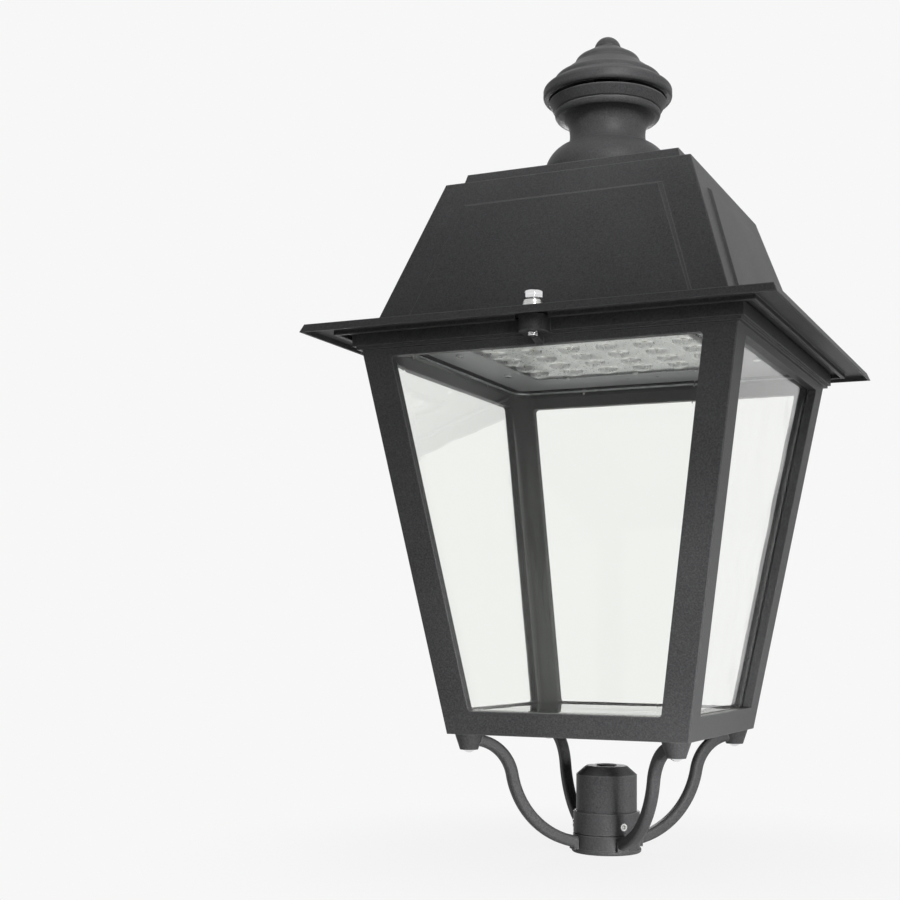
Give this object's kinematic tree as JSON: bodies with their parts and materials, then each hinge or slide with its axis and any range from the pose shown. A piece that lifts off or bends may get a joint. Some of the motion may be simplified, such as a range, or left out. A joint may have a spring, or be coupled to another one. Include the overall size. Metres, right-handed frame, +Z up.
{
  "type": "post top lantern",
  "caption": "Square tapering post top lantern: S-shaped arms on a spigot socket, a clear bowl in a cast frame, a hinged pyramid roof with LED gear and a turned finial.",
  "frame": {"origin": "centre of the post socket's mouth, where the post's spigot enters", "axes": "+Z up along the post; -Y towards the front, where the closing bolt sits; +X to the right seen from the front; the hinge is at +Y"},
  "size_m": [0.5, 0.5, 0.919],
  "materials": {
    "graphite_coat": "cast aluminium, fine textured graphite powder coat",
    "chrome_steel": "polished chrome plate",
    "stainless": "stainless steel, bright",
    "clear_bowl": "clear, glossy",
    "clear_lens": "clear, glossy, moulded",
    "black_rubber": "matt black rubber",
    "galvanised": "zinc plated sheet",
    "grey_paint": "sheet aluminium, grey paint, satin",
    "gland_plastic": "black nylon",
    "board_white": "white solder mask",
    "emitter_yellow": "yellow phosphor",
    "bare_aluminium": "extruded, plain",
    "device_white": "white plastic case",
    "terminal_grey": "grey nylon",
    "lead_red": "red silicone insulation",
    "lead_black": "black silicone insulation"
  },
  "bodies": {
    "lantern": {"post_socket": "graphite_coat", "socket_grommet": "black_rubber", "clamp_collar": "graphite_coat", "arm_ring": "graphite_coat", "support_arm_front_left": "graphite_coat", "support_arm_front_right": "graphite_coat", "support_arm_rear_left": "graphite_coat", "support_arm_rear_right": "graphite_coat", "arm_bolts": "stainless", "arm_cap_nuts": "chrome_steel", "body_frame": "graphite_coat", "diffuser_bowl": "clear_bowl", "bowl_gasket": "black_rubber", "retaining_frame": "galvanised", "retaining_screws": "stainless", "cable_gland": "gland_plastic", "gland_locknut": "gland_plastic", "hinge_pins": "stainless", "hinge_clips": "stainless"},
    "roof": {"roof_canopy": "graphite_coat", "roof_top_plate": "graphite_coat", "finial_base": "graphite_coat", "finial_cap": "graphite_coat", "top_plate_screws": "stainless", "finial_stud": "stainless", "finial_nut": "stainless", "finial_washer": "stainless", "tray_screws": "stainless", "lens_screws": "stainless", "gear_screws": "stainless", "brim_bush": "stainless", "lens_array": "clear_lens", "roof_gasket": "black_rubber", "gear_tray": "grey_paint", "led_board": "board_white", "led_emitters": "emitter_yellow", "heat_sink": "bare_aluminium", "led_driver": "device_white", "surge_protector": "device_white", "lead_plug": "device_white", "terminal_block": "terminal_grey", "led_lead_red": "lead_red", "led_lead_black": "lead_black"},
    "closing_bolt": {"closing_bolt": "stainless"},
    "bolt_carriage": {"bolt_washer": "black_rubber"},
    "grub_front": {"grub_screw_front": "stainless"},
    "grub_rear": {"grub_screw_rear": "stainless"},
    "grub_left": {"grub_screw_left": "stainless"}
  },
  "joints": [
    {"name": "roof_hinge", "type": "hinge", "parent": "lantern", "child": "roof", "pos_m": [0, 0.226, 0.538], "axis": [-1, 0, 0], "range_deg": [0, 100]},
    {"name": "bolt_lift", "type": "slide", "parent": "roof", "child": "bolt_carriage", "axis": [0, 0, 1], "range_m": [0, 0.021]},
    {"name": "bolt_turn", "type": "hinge", "parent": "bolt_carriage", "child": "closing_bolt", "pos_m": [0, -0.219, 0.57], "axis": [0, 0, 1], "range_deg": [0, 5040]},
    {"name": "grub_front_screw", "type": "slide", "parent": "lantern", "child": "grub_front", "axis": [0.766, -0.6428, 0], "range_m": [-0.0015, 0.004]},
    {"name": "grub_rear_screw", "type": "slide", "parent": "lantern", "child": "grub_rear", "axis": [0.1736, 0.9848, 0], "range_m": [-0.0015, 0.004]},
    {"name": "grub_left_screw", "type": "slide", "parent": "lantern", "child": "grub_left", "axis": [-0.9397, -0.342, 0], "range_m": [-0.0015, 0.004]}
  ],
  "couplings": [
    {"joint": "bolt_turn", "follows": "bolt_lift", "rad_per_m": 4188.8}
  ]
}
